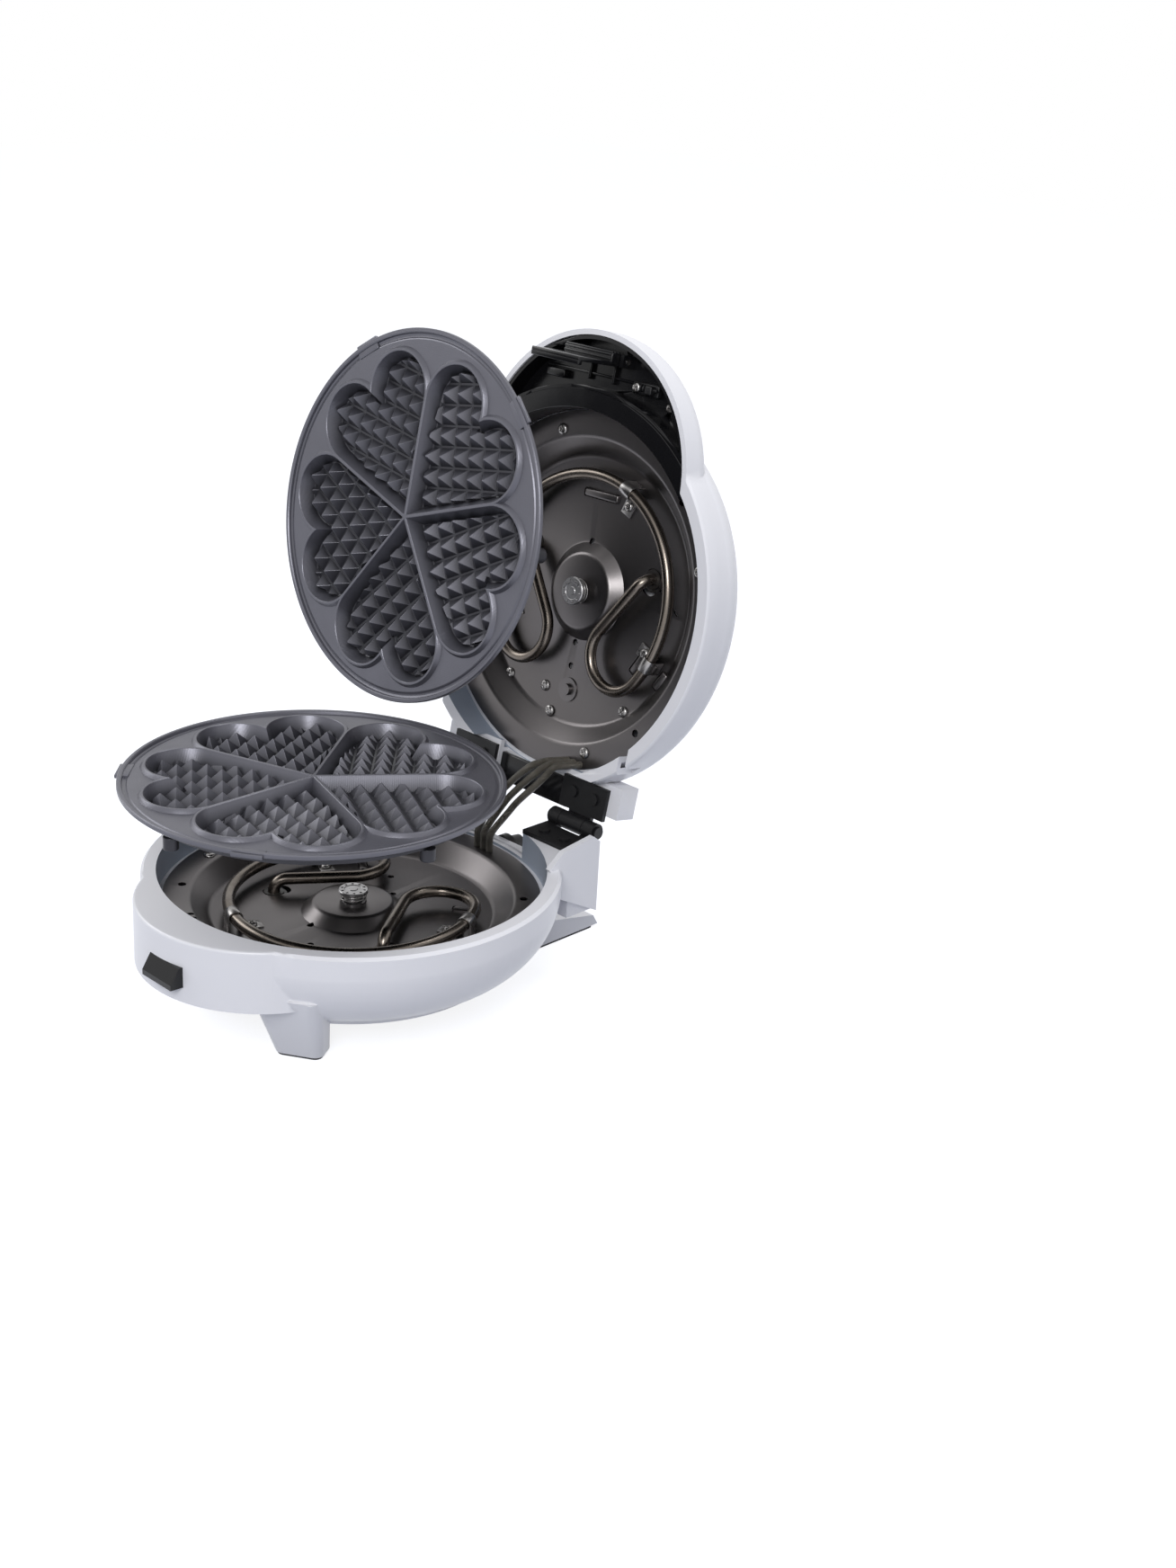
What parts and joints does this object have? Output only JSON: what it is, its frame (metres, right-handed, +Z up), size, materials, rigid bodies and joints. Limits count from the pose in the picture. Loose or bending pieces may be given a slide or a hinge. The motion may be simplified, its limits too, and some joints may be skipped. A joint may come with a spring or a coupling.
{
  "type": "heart waffle maker",
  "caption": "Open heart waffle maker with hinged lid, patterned plates lifted off, bent heating tubes, reflector pans and a handle latch.",
  "frame": {"origin": "middle of the base on the plane that the feet stand on", "axes": "+Z up, +Y towards the hinge, -Y towards the handle and latch, X along the hinge"},
  "size_m": [0.2488, 0.3281, 0.343],
  "materials": {
    "shell": "gloss",
    "black": "satin",
    "black_metal": "satin",
    "pan": "satin",
    "tube": "satin",
    "plate": "satin",
    "bright": "bright",
    "aluminium": "satin",
    "ceramic": "matte",
    "sleeve": "braided",
    "rubber": "matte"
  },
  "bodies": {
    "base": {"base_shell": "shell", "bottom_cover": "black", "foot_pads": "rubber", "base_catch": "black", "base_hinge_leaves": "black_metal", "base_leaf_screws": "bright", "hinge_pins": "black_metal", "thermostat": "pan", "thermal_fuse": "bright", "terminal_block": "black", "cord_gland": "black", "hinge_leads": "sleeve", "base_reflector_pan": "pan", "base_heating_tube": "tube", "base_tube_clips": "pan", "base_clip_screws": "bright", "base_pan_screws": "bright", "base_terminal_bushes": "ceramic", "base_terminal_tabs": "bright", "base_sensor_collar": "aluminium", "base_sensor_spring": "bright"},
    "lid": {"lid_shell": "shell", "handle_liner": "black", "lid_hinge_leaves": "black_metal", "lid_leaf_screws": "bright", "latch_rod": "bright", "release_screws": "bright", "earth_screw": "bright", "lid_reflector_pan": "pan", "lid_heating_tube": "tube", "lid_tube_clips": "pan", "lid_clip_screws": "bright", "lid_pan_screws": "bright", "lid_terminal_bushes": "ceramic", "lid_terminal_tabs": "bright", "lid_sensor_collar": "aluminium", "lid_sensor_spring": "bright"},
    "latch": {"latch_hook": "black"},
    "release": {"plate_release": "black"},
    "lower_plate": {"lower_plate": "plate"},
    "upper_plate": {"upper_plate": "plate"},
    "base_stud": {"base_sensor_stud": "aluminium"},
    "lid_stud": {"lid_sensor_stud": "aluminium"}
  },
  "joints": [
    {"name": "lid_hinge", "type": "hinge", "parent": "base", "child": "lid", "pos_m": [0, 0.1233, 0.0773], "axis": [1, 0, 0], "range_deg": [0, 50], "deforming": ["hinge_leads"]},
    {"name": "lower_plate_seat", "type": "slide", "parent": "base", "child": "lower_plate", "axis": [0.0191, 0.4196, -0.9075], "range_m": [0, 0.06292]},
    {"name": "upper_plate_seat", "type": "slide", "parent": "lid", "child": "upper_plate", "axis": [0.3711, 0.8038, -0.4649], "range_m": [0, 0.09915]},
    {"name": "handle_latch", "type": "hinge", "parent": "lid", "child": "latch", "pos_m": [-0.004, 0.17474, 0.32635], "axis": [-1, 0, 0], "range_deg": [0, 12], "stiffness_Nm_per_rad": 0.3, "springref_deg": -5.73},
    {"name": "release_lever", "type": "hinge", "parent": "lid", "child": "release", "pos_m": [0.025, 0.17629, 0.31379], "axis": [0, 0.9803, -0.1977], "range_deg": [0, 15], "stiffness_Nm_per_rad": 0.01, "springref_deg": -5.73},
    {"name": "base_sensor", "type": "slide", "parent": "base", "child": "base_stud", "axis": [0, 0, -1], "range_m": [0, 0.0015], "stiffness_N_per_m": 600, "springref_m": -0.001, "deforming": ["base_sensor_spring"]},
    {"name": "lid_sensor", "type": "slide", "parent": "lid", "child": "lid_stud", "axis": [0, 0.9803, -0.1977], "range_m": [0, 0.0015], "stiffness_N_per_m": 600, "springref_m": -0.001, "deforming": ["lid_sensor_spring"]}
  ],
  "couplings": [
    {"joint": "lower_plate_seat", "follows": "lid_hinge", "m_per_rad": 0.072099},
    {"joint": "upper_plate_seat", "follows": "lid_hinge", "m_per_rad": 0.11362}
  ]
}
